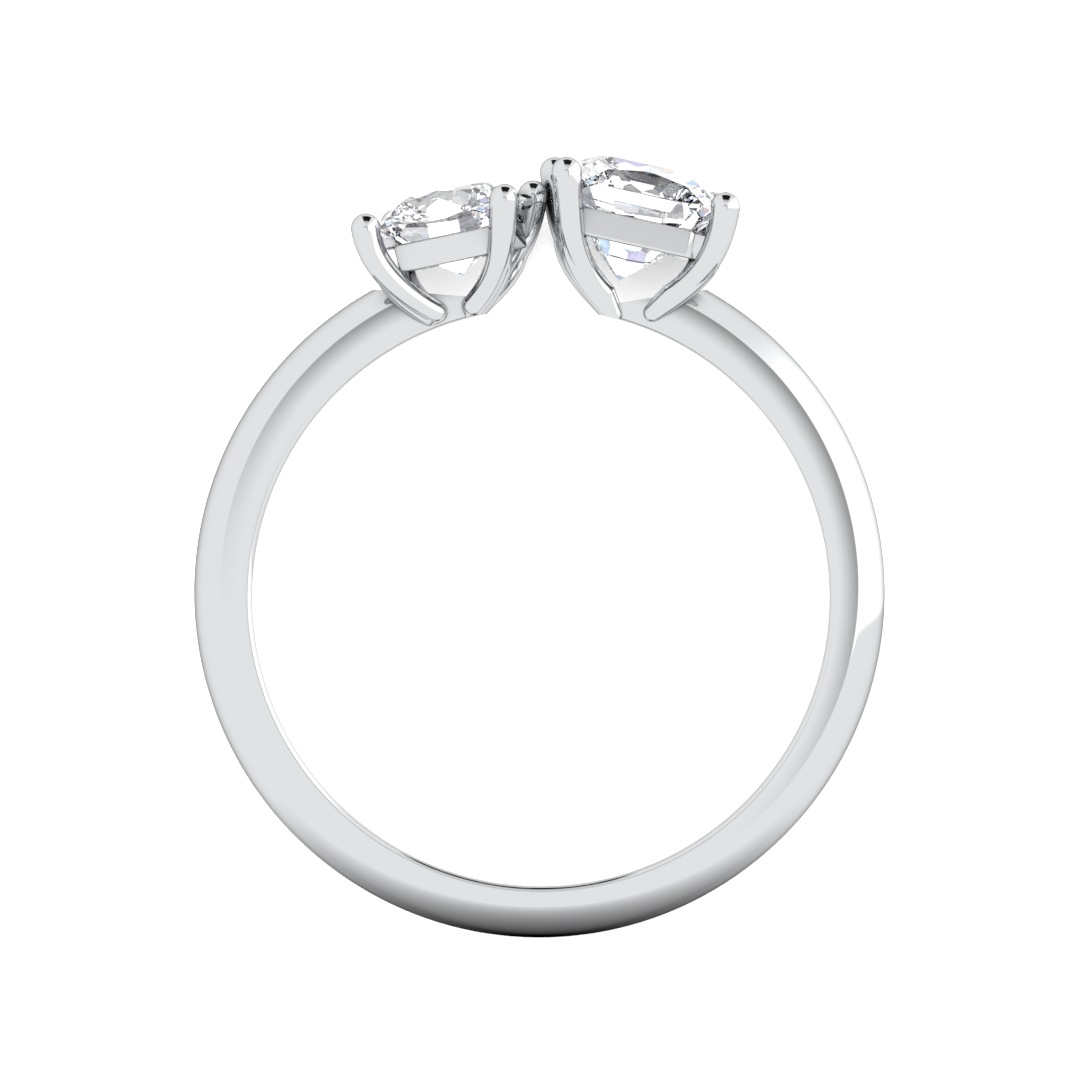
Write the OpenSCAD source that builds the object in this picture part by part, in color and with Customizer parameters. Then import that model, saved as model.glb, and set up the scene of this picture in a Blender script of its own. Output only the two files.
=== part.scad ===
// Toi et moi ring: an open shank whose two ends each carry a four-claw head,
// one holding a cushion-cut stone and the other a radiant-cut stone.
// Units are millimetres. The ring lies on its side, at rest on the balls of two claws
// and on the edge of the shank, with the middle of the finger hole at the origin.

/* [Finger hole] */
// Inside diameter of the shank, which sets the finger size
inner_d = 16.5; // [15:0.1:19]

/* [Shank] */
// Thickness of the shank at the back of the finger
band_t_back = 1.46; // [1.2:0.02:2]
// Thickness that the shank grows to under the heads
band_t_top = 1.78; // [1.4:0.02:2.4]
// Turn of the thickest place to the left of straight up
band_t_turn = 14; // [0:1:30]
// Width of the shank at the back of the finger
band_w_back = 2.18; // [1.9:0.02:2.2]
// Width of the shank where it ends under the heads
band_w_head = 1.98; // [1.7:0.02:2.1]
// Radius of the domed outside of the shank
band_dome_r = 1.1; // [1.1:0.05:1.3]
// Angle from straight up to the end of the shank under the cushion head
cushion_end = 11; // [9:0.5:13]
// Angle from straight up to the end of the shank under the radiant head
radiant_end = 12.6; // [10:0.5:14]

/* [Cushion stone] */
// Width of the cushion stone across its flat sides
cushion_w = 4.28; // [4.1:0.02:4.4]
// Height of its crown, from the middle of the girdle to the table
cushion_crown = 0.8; // [0.6:0.02:0.9]
// Depth of its pavilion, from the middle of the girdle to the tip
cushion_pavilion = 1.9; // [1.7:0.02:1.96]
// Squareness of its outline, where 2 is a circle and a large number a square
cushion_square = 7; // [6:0.5:9]

/* [Radiant stone] */
// Width of the radiant stone across its flat sides
radiant_w = 4.8; // [4.6:0.02:4.9]
// Height of its crown, from the middle of the girdle to the table
radiant_crown = 0.9; // [0.6:0.02:1]
// Depth of its pavilion, from the middle of the girdle to the tip
radiant_pavilion = 2.8; // [2.5:0.02:2.84]
// Length that is cropped off each corner, measured along the side
radiant_crop = 0.4; // [0.3:0.02:0.5]

/* [Heads] */
// Angle from straight up to the middle of the cushion head
cushion_at = 13.4; // [12.5:0.1:15]
// Height of the cushion head's rail above the finger hole
cushion_rise = 2.43; // [2.35:0.01:2.7]
// Lean of the cushion head away from straight up
cushion_lean = 11.8; // [8:0.1:14]
// Turn of the cushion head about its own axis
cushion_turn = -11.5; // [-14:0.5:0]
// Angle from straight up to the middle of the radiant head
radiant_at = 13.7; // [13:0.1:15]
// Height of the radiant head's rail above the finger hole
radiant_rise = 2.9; // [2.85:0.01:3.1]
// Lean of the radiant head away from straight up
radiant_lean = 12.5; // [9:0.1:15]
// Turn of the radiant head about its own axis
radiant_turn = 4.3; // [0:0.5:8]
// Height of the gallery rails
rail_h = 0.8; // [0.6:0.02:0.9]
// Thickness of the gallery rails at their foot
rail_t = 0.5; // [0.4:0.02:0.6]
// Thickness of the short arms that join a rail to its claws
arm_t = 0.4; // [0.3:0.02:0.48]
// Height of the cushion stone's girdle above its rail
cushion_seat = 0.49; // [0.4:0.01:0.6]
// Height of the radiant stone's girdle above its rail
radiant_seat = 0.69; // [0.6:0.01:0.75]

/* [Claws] */
// Radius of the ball at the tip of a claw
ball_r = 0.43; // [0.38:0.01:0.48]
// Radius of a claw below its ball
claw_r = 0.41; // [0.34:0.01:0.42]
// Radius of a claw at its foot
claw_foot_r = 0.33; // [0.26:0.01:0.38]
// Height of the balls' centres above the girdle
ball_rise = 0.16; // [0.1:0.01:0.24]
// Distance that the balls' centres stand in from the stone's flat sides
ball_inset = 0.08; // [0:0.01:0.14]
// Distance that the claws' feet stand out from the middle plane of the shank
claw_foot_z = 1; // [0.9:0.02:1.1]
// Radius of the lower strand at its foot
strand_r = 0.3; // [0.24:0.01:0.34]
// Distance that the strands' feet stand out from the middle plane of the shank
strand_foot_z = 0.86; // [0.8:0.02:1]
// Gap between a stone and the metal round it
stone_gap = 0.03; // [0.02:0.01:0.05]

/* [Hidden] */
metal_colour = [0.86, 0.86, 0.87];
stone_colour = [0.93, 0.96, 1, 0.6];
fine = 180;
tube_sides = 12;
tube_rings = 9;
cap_rings = 3;
ball_sides = 48;
girdle_t = 0.06;
outline_points = 32;
search_steps = 60;
reach = 12;

// Share of the rail's half width that its turned corners take, the width by which it
// stands out past the stone's pavilion, and the crop of its opening's corners
rail_turn = 0.21;
rail_proud = 0.07;
rail_hole_crop = 0.12;

// Depth that an arm is sunk into the rail's corner, and its drop from the rail's edges
arm_sunk = 0.15;
arm_drop = 0.04;

// A claw leaves its ball at this slope and comes in towards the middle plane of the
// shank, as shares of its run, first at the ball and then at the foot
claw_top_slope = 5;
claw_top_draw = 0.03;
claw_foot_draw = 0.25;
claw_bow = 0.45;

// A strand leaves the claw at this share of the claw's length, a little slimmer than it
strand_from = 0.42;
strand_part = 0.1;
strand_foot_draw = 0.2;
strand_bow = 0.4;
strand_slim = 0.8;

inner_r = inner_d / 2;
band_t = (band_t_back + band_t_top) / 2;
outer_r = inner_r + band_t;
outer_shift = (band_t_top - band_t_back) / 2;
outer_mid = [-outer_shift * sin(band_t_turn), outer_shift * cos(band_t_turn), 0];

// A head is one row: side (-1 left, 1 right), angle, rise, lean, turn, stone width,
// girdle height above the rail, and the feet of its outer and of its inner claws
SIDE = 0;
AT = 1;
RISE = 2;
LEAN = 3;
TURN = 4;
STONE_W = 5;
SEAT = 6;
OUTER = 7;
INNER = 8;

// Feet rows: angle from straight up, height above the finger hole as a share of the
// shank's thickness, and slope on arrival for the claw, then the angle and height of
// its lower strand
CLAW_AT = 0;
CLAW_H = 1;
CLAW_SLOPE = 2;
STRAND_AT = 3;
STRAND_H = 4;

cushion_head = [
    -1, cushion_at, cushion_rise, cushion_lean, cushion_turn, cushion_w, cushion_seat,
    [20.2, 0.265, 62, 21.6, 0.222],
    [13, 0.185, 42, 13.2, 0.074]
];
radiant_head = [
    1, radiant_at, radiant_rise, radiant_lean, radiant_turn, radiant_w, radiant_seat,
    [23.3, 0.704, 58, 21.4, 0.296],
    [11.8, 0.383, 44, 14.3, 0.062]
];

// Saddle cut rows: angle from straight up, height above the finger hole as a share of
// the shank's thickness, and slope
cushion_saddle = [16.4, 0.457, 4.5];
radiant_saddle = [16.9, 0.37, 8.5];

function on_ring(side, angle, height) =
    [side * sin(angle) * (inner_r + height), cos(angle) * (inner_r + height), 0];

// The same for a height that is a share of the shank's thickness
function on_shank(side, angle, share) = on_ring(side, angle, share * band_t);

// A point of a head's own frame, u across, w to the front and v up, in the ring's frame
function head_point(head, u, w, v) =
    let (
        spun = [u * cos(head[TURN]) + w * sin(head[TURN]), -u * sin(head[TURN]) + w * cos(head[TURN])],
        tilt = head[SIDE] * head[LEAN]
    )
    on_ring(head[SIDE], head[AT], head[RISE])
    + [spun.x * cos(tilt) + v * sin(tilt), -spun.x * sin(tilt) + v * cos(tilt), spun.y];

function ball_at(head, across, front) =
    let (half = head[STONE_W] / 2 - ball_inset)
    head_point(head, head[SIDE] * across * half, front * half, head[SEAT] + ball_rise);

// Tilt that lays the ring on two balls at the back and on the edge of the shank
rest_left = ball_at(cushion_head, 1, -1);
rest_right = ball_at(radiant_head, 1, -1);
edge_back = outer_r - outer_shift - band_dome_r + sqrt(band_dome_r ^ 2 - (band_w_back / 2) ^ 2);
rest_depth = -(rest_left.z + rest_right.z) / 2 + ball_r - band_w_back / 2;
rest_tilt = atan(rest_depth / ((rest_left.y + rest_right.y) / 2 + edge_back));
rest_roll = atan((rest_right.z - rest_left.z) / (rest_right.x - rest_left.x));

function bezier(p, t) =
    p[0] * (1 - t) ^ 3 + p[1] * 3 * t * (1 - t) ^ 2 + p[2] * 3 * t ^ 2 * (1 - t) + p[3] * t ^ 3;

function unit(v) = v / norm(v);

// Centre line of a claw: straight down from the ball, then in to its foot on the shank
function claw_line(head, across, front) =
    let (
        top = ball_at(head, across, front),
        foot_row = across > 0 ? head[OUTER] : head[INNER],
        foot = on_shank(head[SIDE], foot_row[CLAW_AT], foot_row[CLAW_H]) + [0, 0, front * claw_foot_z],
        inward = -head[SIDE] * across,
        bow = (top.y - foot.y) * claw_bow,
        down = [inward * sin(claw_top_slope), -cos(claw_top_slope), -front * claw_top_draw],
        slope = foot_row[CLAW_SLOPE],
        arrive = [inward * sin(slope), -cos(slope), -front * claw_foot_draw]
    )
    [top, top + down * bow, foot - arrive * bow, foot];

// Centre line of the lower strand: along the underside of the claw to its own foot
function strand_line(head, across, front) =
    let (
        claw = claw_line(head, across, front),
        start = bezier(claw, strand_from),
        foot_row = across > 0 ? head[OUTER] : head[INNER],
        foot = on_shank(head[SIDE], foot_row[STRAND_AT], foot_row[STRAND_H])
            + [0, 0, front * strand_foot_z],
        inward = -head[SIDE] * across,
        bow = (start.y - foot.y) * strand_bow,
        past = bezier(claw, strand_from + 0.04) - bezier(claw, strand_from - 0.02),
        down = unit(past - [inward * strand_part, 0, 0]),
        slope = foot_row[CLAW_SLOPE],
        arrive = [inward * sin(slope), -cos(slope), -front * strand_foot_draw]
    )
    [start, start + down * bow, foot - arrive * bow, foot];

// Rings of a tube along a curve, with a round end at its foot
function ring_of(centre, along, side, r, sides) =
    let (x = unit(cross(along, side)), y = unit(cross(along, x)))
    [for (k = [0:sides - 1]) centre + r * (x * cos(360 * k / sides) + y * sin(360 * k / sides))];

function tube_points(line, r_start, r_end, side) =
    let (
        last = unit(line[3] - line[2]),
        body = [
            for (i = [0:tube_rings])
                let (t = i / tube_rings, d = unit(bezier(line, min(1, t + 0.02)) - bezier(line, max(0, t - 0.02))))
                ring_of(bezier(line, t), d, side, r_start + (r_end - r_start) * t, tube_sides)
        ],
        cap = [
            for (i = [1:cap_rings])
                let (a = 80 * i / cap_rings)
                ring_of(line[3] + last * r_end * sin(a), last, side, r_end * cos(a), tube_sides)
        ]
    )
    concat(body, cap);

module tube(line, r_start, r_end, side) {
    rings = tube_points(line, r_start, r_end, side);
    n = tube_sides;
    m = len(rings);
    walls = [
        for (i = [0:m - 2], k = [0:n - 1])
            let (a = i * n + k, b = i * n + (k + 1) % n)
            each [[b, a, b + n], [b + n, a, a + n]]
    ];
    start = [for (k = [0:n - 1]) k];
    end = [for (k = [n - 1:-1:0]) (m - 1) * n + k];
    polyhedron(points = [for (ring = rings) each ring], faces = concat(walls, [start, end]));
}

// One claw: ball, tapering body and the lower strand that runs under it to the shank
module claw(head, across, front) {
    side = unit([front, 0, head[SIDE] * across]);
    translate(ball_at(head, across, front)) sphere(r = ball_r, $fn = ball_sides);
    tube(claw_line(head, across, front), claw_r, claw_foot_r, side);
    tube(strand_line(head, across, front), claw_foot_r * strand_slim, strand_r, side);
}

// Places a child that is drawn in a head's own frame, with its rail's top at zero
module in_head(head) {
    translate(on_ring(head[SIDE], head[AT], head[RISE]))
        rotate([0, 0, -head[SIDE] * head[LEAN]])
            rotate([0, head[TURN], 0])
                rotate([-90, 0, 0])
                    children();
}

// Half width of the rail, which stands flush with the stone's pavilion above it
function rail_half(head, pavilion) =
    head[STONE_W] / 2 * (1 - (head[SEAT] - girdle_t / 2) / pavilion) + stone_gap + rail_proud;

module cropped_square(half, crop) {
    polygon([
        for (q = [0:3])
            each [
                [cos(90 * q) * half - sin(90 * q) * (half - crop) * -1, sin(90 * q) * half - cos(90 * q) * (half - crop)],
                [cos(90 * q) * half - sin(90 * q) * (half - crop), sin(90 * q) * half + cos(90 * q) * (half - crop)]
            ]
    ]);
}

// Point where a claw's centre line passes a height of the head's own frame
function claw_at_height(head, across, front, v) =
    let (
        line = claw_line(head, across, front),
        tilt = head[SIDE] * head[LEAN],
        up = [sin(tilt), cos(tilt), 0],
        level = on_ring(head[SIDE], head[AT], head[RISE]) * up + v,
        off = [for (i = [0:search_steps]) abs(bezier(line, i / search_steps) * up - level)],
        best = search(min(off), off)[0]
    )
    bezier(line, best / search_steps);

// Arm that joins a corner of the rail to its claw, nearly as high as the rail
module arm(head, half, across, front) {
    corner = half * (1 - rail_turn / 2) - arm_sunk;
    face = unit([front, 0, -head[SIDE] * across]) * arm_t / 2;
    ends = [
        for (v = [-arm_drop, arm_drop - rail_h])
            each [
                head_point(head, head[SIDE] * across * corner, front * corner, v),
                claw_at_height(head, across, front, v)
            ]
    ];
    points = [for (p = ends) each [p + face, p - face]];
    polyhedron(
        points = front * head[SIDE] * across > 0 ? points : [for (p = ends) each [p - face, p + face]],
        faces = [[0, 1, 3], [0, 3, 2], [4, 6, 7], [4, 7, 5], [0, 4, 5], [0, 5, 1],
            [2, 3, 7], [2, 7, 6], [0, 2, 6], [0, 6, 4], [1, 5, 7], [1, 7, 3]]
    );
}

// Gallery rail with turned corners, and the four short arms that join it to the claws
module rail(head, pavilion) {
    half = rail_half(head, pavilion);
    in_head(head) mirror([0, 0, 1]) difference() {
        linear_extrude(rail_h) cropped_square(half, half * rail_turn);
        translate([0, 0, -1]) linear_extrude(rail_h + 2) cropped_square(half - rail_t, rail_hole_crop);
    }
    for (across = [-1, 1], front = [-1, 1]) arm(head, half, across, front);
}

// The side of one facet's plane that holds the stone: slope from the table, turn about
// the axis, distance from the middle of the girdle, and 1 where it lies below the girdle
module inside_facet(facet) {
    mirror([0, 0, facet[3]])
        rotate([0, facet[0], facet[1]])
            translate([-reach, -reach, facet[2] - reach])
                cube([2 * reach, 2 * reach, reach]);
}

// Facets in fours or in mirrored eights, all of a row cut to meet the axis at one height
function facets(rows, height, grow, below) = [
    for (row = rows, q = [0:3], s = row[1] == 0 || row[1] == 45 ? [1] : [-1, 1])
        [row[0], 90 * q + s * row[1], row[2] * height * cos(row[0]) + grow, below]
];

// Slope of a plane from a girdle edge to a height on the axis
function slope_to(height, distance) = atan((height - girdle_t / 2) / distance);

// Stone cut from a block by its planes. Rows hold the slope, the turn from a flat side,
// and the height on the axis as a share of the crown's or pavilion's
module cut_stone(crown_rows, pavilion_rows, crown, pavilion, grow) {
    planes = concat(facets(crown_rows, crown, grow, 0), facets(pavilion_rows, pavilion, grow, 1));
    intersection() {
        translate([0, 0, -pavilion - grow]) linear_extrude(pavilion + crown + 2 * grow) children();
        intersection_for(plane = planes) inside_facet(plane);
    }
}

module cushion_outline(grow) {
    half = cushion_w / 2 + grow;
    polygon([
        for (k = [0:outline_points - 1])
            let (a = 360 * (k + 0.5) / outline_points, c = cos(a), s = sin(a))
            half * [c, s] / (abs(c) ^ cushion_square + abs(s) ^ cushion_square) ^ (1 / cushion_square)
    ]);
}

module radiant_outline(grow) {
    cropped_square(radiant_w / 2 + grow, radiant_crop + grow * (2 - sqrt(2)));
}

// Row for a plane that starts on the girdle at a given distance from the axis
function girdle_row(slope, azimuth, distance, height) =
    [slope, azimuth, (distance * tan(slope) + girdle_t / 2) / height];

cushion_half = cushion_w / 2;
cushion_corner = cushion_half * sqrt(2) / 2 ^ (1 / cushion_square);
radiant_half = radiant_w / 2;
radiant_corner = (radiant_w - radiant_crop) / sqrt(2);

cushion_crown_main = [
    girdle_row(42, 0, cushion_half, cushion_crown),
    girdle_row(37, 45, cushion_corner, cushion_crown)
];
cushion_pavilion_main = [
    [slope_to(cushion_pavilion, cushion_half), 0, 1],
    girdle_row(46, 45, cushion_corner, cushion_pavilion)
];
radiant_crown_main = [
    girdle_row(44.5, 0, radiant_half, radiant_crown),
    girdle_row(42, 45, radiant_corner, radiant_crown)
];
radiant_pavilion_main = [
    [slope_to(radiant_pavilion, radiant_half), 0, 1],
    girdle_row(56, 45, radiant_corner, radiant_pavilion)
];

module cushion_body(grow = 0) {
    cut_stone(
        concat(cushion_crown_main, [[36, 23, 2.2], [31, 0, 1.87], [28, 45, 1.93], [20, 22, 1.5]]),
        concat(cushion_pavilion_main, [[40.5, 14, 0.985], [38, 27, 0.97], [36, 45, 0.98], [35, 8, 0.9]]),
        cushion_crown, cushion_pavilion, grow
    ) cushion_outline(grow);
}

module cushion_envelope(grow) {
    cut_stone(
        cushion_crown_main, cushion_pavilion_main,
        cushion_crown, cushion_pavilion, grow
    ) cushion_outline(grow);
}

module radiant_body(grow = 0) {
    cut_stone(
        concat(radiant_crown_main, [[35, 0, 2.1], [34, 24, 2.22], [30, 45, 2.08], [24, 12, 1.6]]),
        concat(radiant_pavilion_main, [[47, 12, 0.985], [44, 27, 0.96], [41, 8, 0.9], [38.5, 45, 0.955]]),
        radiant_crown, radiant_pavilion, grow
    ) radiant_outline(grow);
}

module radiant_envelope(grow) {
    cut_stone(
        radiant_crown_main, radiant_pavilion_main,
        radiant_crown, radiant_pavilion, grow
    ) radiant_outline(grow);
}

module in_seat(head) in_head(head) translate([0, 0, head[SEAT]]) children();

// Domed blank of the shank, turned about a centre that lies above the finger's
module band_blank() {
    translate(outer_mid) rotate_extrude($fn = fine) {
        translate([outer_r - band_dome_r, 0]) circle(r = band_dome_r, $fn = fine);
        translate([inner_r - 1, -band_dome_r]) square([outer_r - band_dome_r - inner_r + 1, 2 * band_dome_r]);
    }
}

// Flat sides of the shank, which draw together from the back of the finger to the heads
module band_sides() {
    low = -inner_r;
    taper = (band_w_head - band_w_back) / 2 / (2 * inner_r);
    function half_at(y) = band_w_back / 2 + taper * (y - low);
    rotate([90, 0, 90])
        translate([0, 0, -reach])
            linear_extrude(2 * reach)
                polygon([
                    [-reach, -half_at(-reach)], [reach, -half_at(reach)],
                    [reach, half_at(reach)], [-reach, half_at(-reach)]
                ]);
}

// Wedge between the two ends of the shank
module end_gap() {
    translate([0, 0, -reach])
        linear_extrude(2 * reach)
            polygon([
                [0, 0],
                [reach * 2 * sin(radiant_end), reach * 2 * cos(radiant_end)],
                [-reach * 2 * sin(cushion_end), reach * 2 * cos(cushion_end)]
            ]);
}

// Flat saddle that an end of the shank is cut to, where its head stands
module saddle(side, row) {
    translate(on_shank(side, row[0], row[1]))
        rotate([0, 0, side * row[2]])
            translate([-reach, 0, -reach])
                cube([2 * reach, reach, 2 * reach]);
}

module shank_blank() {
    difference() {
        intersection() {
            band_blank();
            band_sides();
        }
        end_gap();
        intersection() {
            saddle(-1, cushion_saddle);
            translate([-reach, 0, -reach]) cube([reach, 2 * reach, 2 * reach]);
        }
        intersection() {
            saddle(1, radiant_saddle);
            translate([0, 0, -reach]) cube([reach, 2 * reach, 2 * reach]);
        }
    }
}

module claws(head) {
    for (across = [-1, 1], front = [-1, 1]) claw(head, across, front);
}

// Turns the whole ring from its own axis to the way it rests on a table
module at_rest() {
    rotate([rest_tilt, 0, 0]) rotate([0, -rest_roll, 0]) children();
}

module ring_mount() {
    color(metal_colour) at_rest() difference() {
        union() {
            shank_blank();
            claws(cushion_head);
            claws(radiant_head);
            rail(cushion_head, cushion_pavilion);
            rail(radiant_head, radiant_pavilion);
        }
        cylinder(r = inner_r, h = 2 * reach, center = true, $fn = fine);
        in_seat(cushion_head) cushion_envelope(stone_gap);
        in_seat(radiant_head) radiant_envelope(stone_gap);
    }
}

module cushion_stone() {
    color(stone_colour) at_rest() in_seat(cushion_head) cushion_body();
}

module radiant_stone() {
    color(stone_colour) at_rest() in_seat(radiant_head) radiant_body();
}

ring_mount();
cushion_stone();
radiant_stone();
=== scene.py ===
import math

import bmesh
import bpy
import numpy as np
from mathutils import Matrix, Vector


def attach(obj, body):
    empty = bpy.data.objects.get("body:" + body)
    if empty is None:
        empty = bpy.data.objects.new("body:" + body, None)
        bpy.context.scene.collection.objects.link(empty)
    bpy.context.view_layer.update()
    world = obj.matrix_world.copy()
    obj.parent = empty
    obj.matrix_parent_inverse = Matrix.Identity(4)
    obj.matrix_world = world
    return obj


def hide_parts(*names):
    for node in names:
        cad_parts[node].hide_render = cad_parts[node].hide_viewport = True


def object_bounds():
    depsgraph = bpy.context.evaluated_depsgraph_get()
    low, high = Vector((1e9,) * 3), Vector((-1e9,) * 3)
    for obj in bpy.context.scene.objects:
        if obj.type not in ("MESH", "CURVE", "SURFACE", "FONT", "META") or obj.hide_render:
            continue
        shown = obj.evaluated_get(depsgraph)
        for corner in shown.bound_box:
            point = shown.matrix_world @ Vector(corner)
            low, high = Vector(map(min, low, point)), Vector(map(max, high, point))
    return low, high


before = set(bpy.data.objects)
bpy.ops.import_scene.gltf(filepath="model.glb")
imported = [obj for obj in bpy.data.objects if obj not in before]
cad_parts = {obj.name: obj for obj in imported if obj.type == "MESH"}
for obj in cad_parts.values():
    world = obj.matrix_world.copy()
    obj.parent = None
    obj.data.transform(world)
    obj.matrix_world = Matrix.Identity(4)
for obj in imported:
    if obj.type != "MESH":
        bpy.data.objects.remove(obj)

CAD_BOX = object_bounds()

# Sizes in millimetres and degrees, as part.scad has them. The ring's own frame has the
# finger hole's axis as Z, towards the camera, and Y from the hole to the heads.
INNER_R = 8.25
BAND_T_BACK, BAND_T_TOP, BAND_T_TURN = 1.46, 1.78, 14
BAND_W_BACK, BAND_W_HEAD = 2.18, 1.98
BAND_DOME_R = 1.1
CUSHION_END, RADIANT_END = 11, 12.6

# Flat at each end of the shank: angle, height as a share of its thickness, and slope
CUSHION_SADDLE = (16.4, 0.457, 4.5)
RADIANT_SADDLE = (16.9, 0.37, 8.5)

# The metal of the heads, and the stones in them
RAIL_H, RAIL_T, RAIL_TURN, RAIL_PROUD, RAIL_HOLE_CROP = 0.8, 0.5, 0.21, 0.07, 0.12
ARM_T, ARM_SUNK, ARM_DROP = 0.4, 0.15, 0.04
BALL_R, CLAW_R, CLAW_FOOT_R = 0.43, 0.41, 0.33
BALL_RISE, BALL_INSET = 0.16, 0.08
CLAW_FOOT_Z, STRAND_FOOT_Z, STRAND_R = 1.0, 0.86, 0.3
CLAW_TOP_SLOPE, CLAW_TOP_DRAW, CLAW_FOOT_DRAW, CLAW_BOW = 5, 0.03, 0.25, 0.45
STRAND_FROM, STRAND_PART, STRAND_FOOT_DRAW = 0.42, 0.1, 0.2
STRAND_BOW, STRAND_SLIM = 0.4, 0.8
STRAND_BEFORE, STRAND_PAST = 0.02, 0.04
STONE_GAP, GIRDLE_T = 0.03, 0.06
CUSHION_CROWN, CUSHION_PAVILION, CUSHION_SQUARE = 0.8, 1.9, 7
RADIANT_CROWN, RADIANT_PAVILION, RADIANT_CROP = 0.9, 2.8, 0.4

# Finish of the metal's edges, which the solids leave sharp
INNER_FILLET = 0.14
SIDE_BEND, SIDE_TURN, SIDE_EASE, SIDE_FLAT = 0.62, 8, 0.02, 0.05
RAIL_FILLET = 0.09
ARM_BEVEL = 0.03
BORE_EASE = 0.002
BALL_BLEND = 0.22
SOLDER_SLIM = 0.004

# Fineness of the meshes
BAND_STEPS, BAND_DOME_STEPS, BEND_STEPS, FILLET_STEPS = 360, 22, 8, 9
TUBE_SIDES, CLAW_RINGS, STRAND_RINGS, SOLDER_RINGS = 56, 44, 28, 4
CAP_RINGS, CAP_REACH, TUBE_STEP = 10, 89, 0.01
CORNER_STEPS, CORNER_EASE = 10, 0.01
ARM_BEVEL_STEPS, CLAW_SAMPLES = 3, 60
BORE_SIDES, CUSHION_SIDES = 720, 32
SMOOTH_ANGLE, FLAT_ANGLE = 13, 0.05

# Half depths and reach of the blocks that cut the metal, all well past it
BORE_HALF, SADDLE_HALF, SADDLE_REACH = 5, 4, 6

# Colour and surface: noise as scale per metre and detail, bumps as strength and depth
# in metres
METAL_COLOUR, METAL_EDGE = (0.74, 0.745, 0.755), (0.4, 0.4, 0.41)
# Painted shade: the metal's colour goes from its own grey down to the crease colour where
# ambient occlusion finds other metal within the crease reach
CREASE_SHADE_COLOUR, CREASE_SHADE_SPAN = (0.2, 0.2, 0.205), (0.25, 0.82)
CREASE_SHADE_REACH, CREASE_SHADE_SAMPLES = 0.001, 8
HAZE_NOISE, HAZE_SPAN, HAZE_ROUGHNESS = (700, 4), (0.35, 0.75), (0.02, 0.06)
RIPPLE_NOISE, RIPPLE_BUMP = (260, 2), (0.02, 0.00002)
DIAMOND_INDEX, DIAMOND_TINT = 2.42, (0.98, 0.982, 0.986)
CLOUD_NOISE, CLOUD_COLOUR = (900, 3), (1, 1, 1)
LINES_SCALE, LINES_WAVER, LINES_BUMP = 4000, 2, (0.002, 0.000001)
FLOOR_COLOUR, FLOOR_ROUGHNESS = (0.95, 0.95, 0.95), 0.9

# Light round the ring, in the scene's own units. Azimuths are counted from the heads to
# the radiant stone's side. A span says where a soft edge starts and where it is full, as
# a cosine to its axis, and LENS_SPAN and LENS_END as the sine off the lens's axis.
TENT_LIGHT, FLOOR_LIGHT = 1.02, 2.3
PANEL_LIGHT, PANEL_FACES, PANEL_TILT = 1.5, (5, 135), 0.035
PANEL_SPANS, PANEL_LENS_SPAN = ((-0.012, 0.012), (-0.1, 0.1)), (0.965, 0.94)
LENS_SHADE, LENS_SPAN, LENS_CURVE, LENS_END = 0.6, (0.03, 0.27), 1.25, (0.33, 0.285)
LENS_AT, LENS_SIDE_SPAN, LENS_FRONT_SPAN = 25, (-0.55, 0.75), (0, 0.1)
FLAG_AT, FLAG_HALF, FLAG_SIDE_SPAN, FLAG_LIGHT = 5, 25, (0, 0.1), 0.03
FLAG_REAR_SPAN, FLAG_FRONT_SPAN = (-0.35, -0.2), (0.6, 0.5)
FLAG_SHADE, FLAG_SHADE_SPAN = 0.5, (0.98, 0.55)
LAMP_FROM, LAMP_DISTANCE, LAMP_SIZE, LAMP_POWER = (-0.05, 0.8, 1), 0.6, 0.3, 3.0

# Card under the ring's back, in millimetres
# Painted shade: the card's dark middle, reflected in the metal's underside, stands in for
# the shadow on the floor under the ring
CARD_DEPTH, CARD_ASIDE, CARD_AHEAD, CARD_BEHIND = 10.0, (0, 14), (0, 4), (-3, -7)

# Cards that the inside of a stone shows: share of the field at which each colour starts
FIELD_SCALE, FIELD_SHIFT = 6.0, (0.83, 1.57, 0.21)
STONE_FIELD = [
    (0.0, (0.03, 0.03, 0.04)),
    (0.13, (0.36, 0.37, 0.4)),
    (0.2, (0.48, 0.73, 1.0)),
    (0.26, (0.6, 0.58, 0.86)),
    (0.3, (1.0, 0.8, 0.64)),
    (0.33, (0.85, 0.86, 0.88)),
    (0.42, (1.7, 1.7, 1.7)),
]

# Camera, in millimetres: the frame's width at the ring, and the point that it looks at
CAMERA_DISTANCE, CAMERA_FRAME, CAMERA_SENSOR = 600.0, 30.857, 36.0
CAMERA_AIM = (-0.023, 1.643)

# What the camera takes in and how far the floor goes from the middle, in metres
CAMERA_CLIP, FLOOR_HALF = (0.01, 10), 0.6

# Bounces of light in all and through a stone; and off metal or inside a stone's faces
STONE_BOUNCES, MIRROR_BOUNCES = 24, 18

BAND_T = (BAND_T_BACK + BAND_T_TOP) / 2
OUTER_R = INNER_R + BAND_T
OUTER_SHIFT = (BAND_T_TOP - BAND_T_BACK) / 2
MM = 0.001


def sin(a):
    return math.sin(math.radians(a))


def cos(a):
    return math.cos(math.radians(a))


def tan(a):
    return math.tan(math.radians(a))


def unit(v):
    return v / np.linalg.norm(v)


def quarter_turn(steps):
    return [90 * k / steps for k in range(steps + 1)]


def in_metres(lengths):
    return tuple(length * MM for length in lengths)


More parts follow.
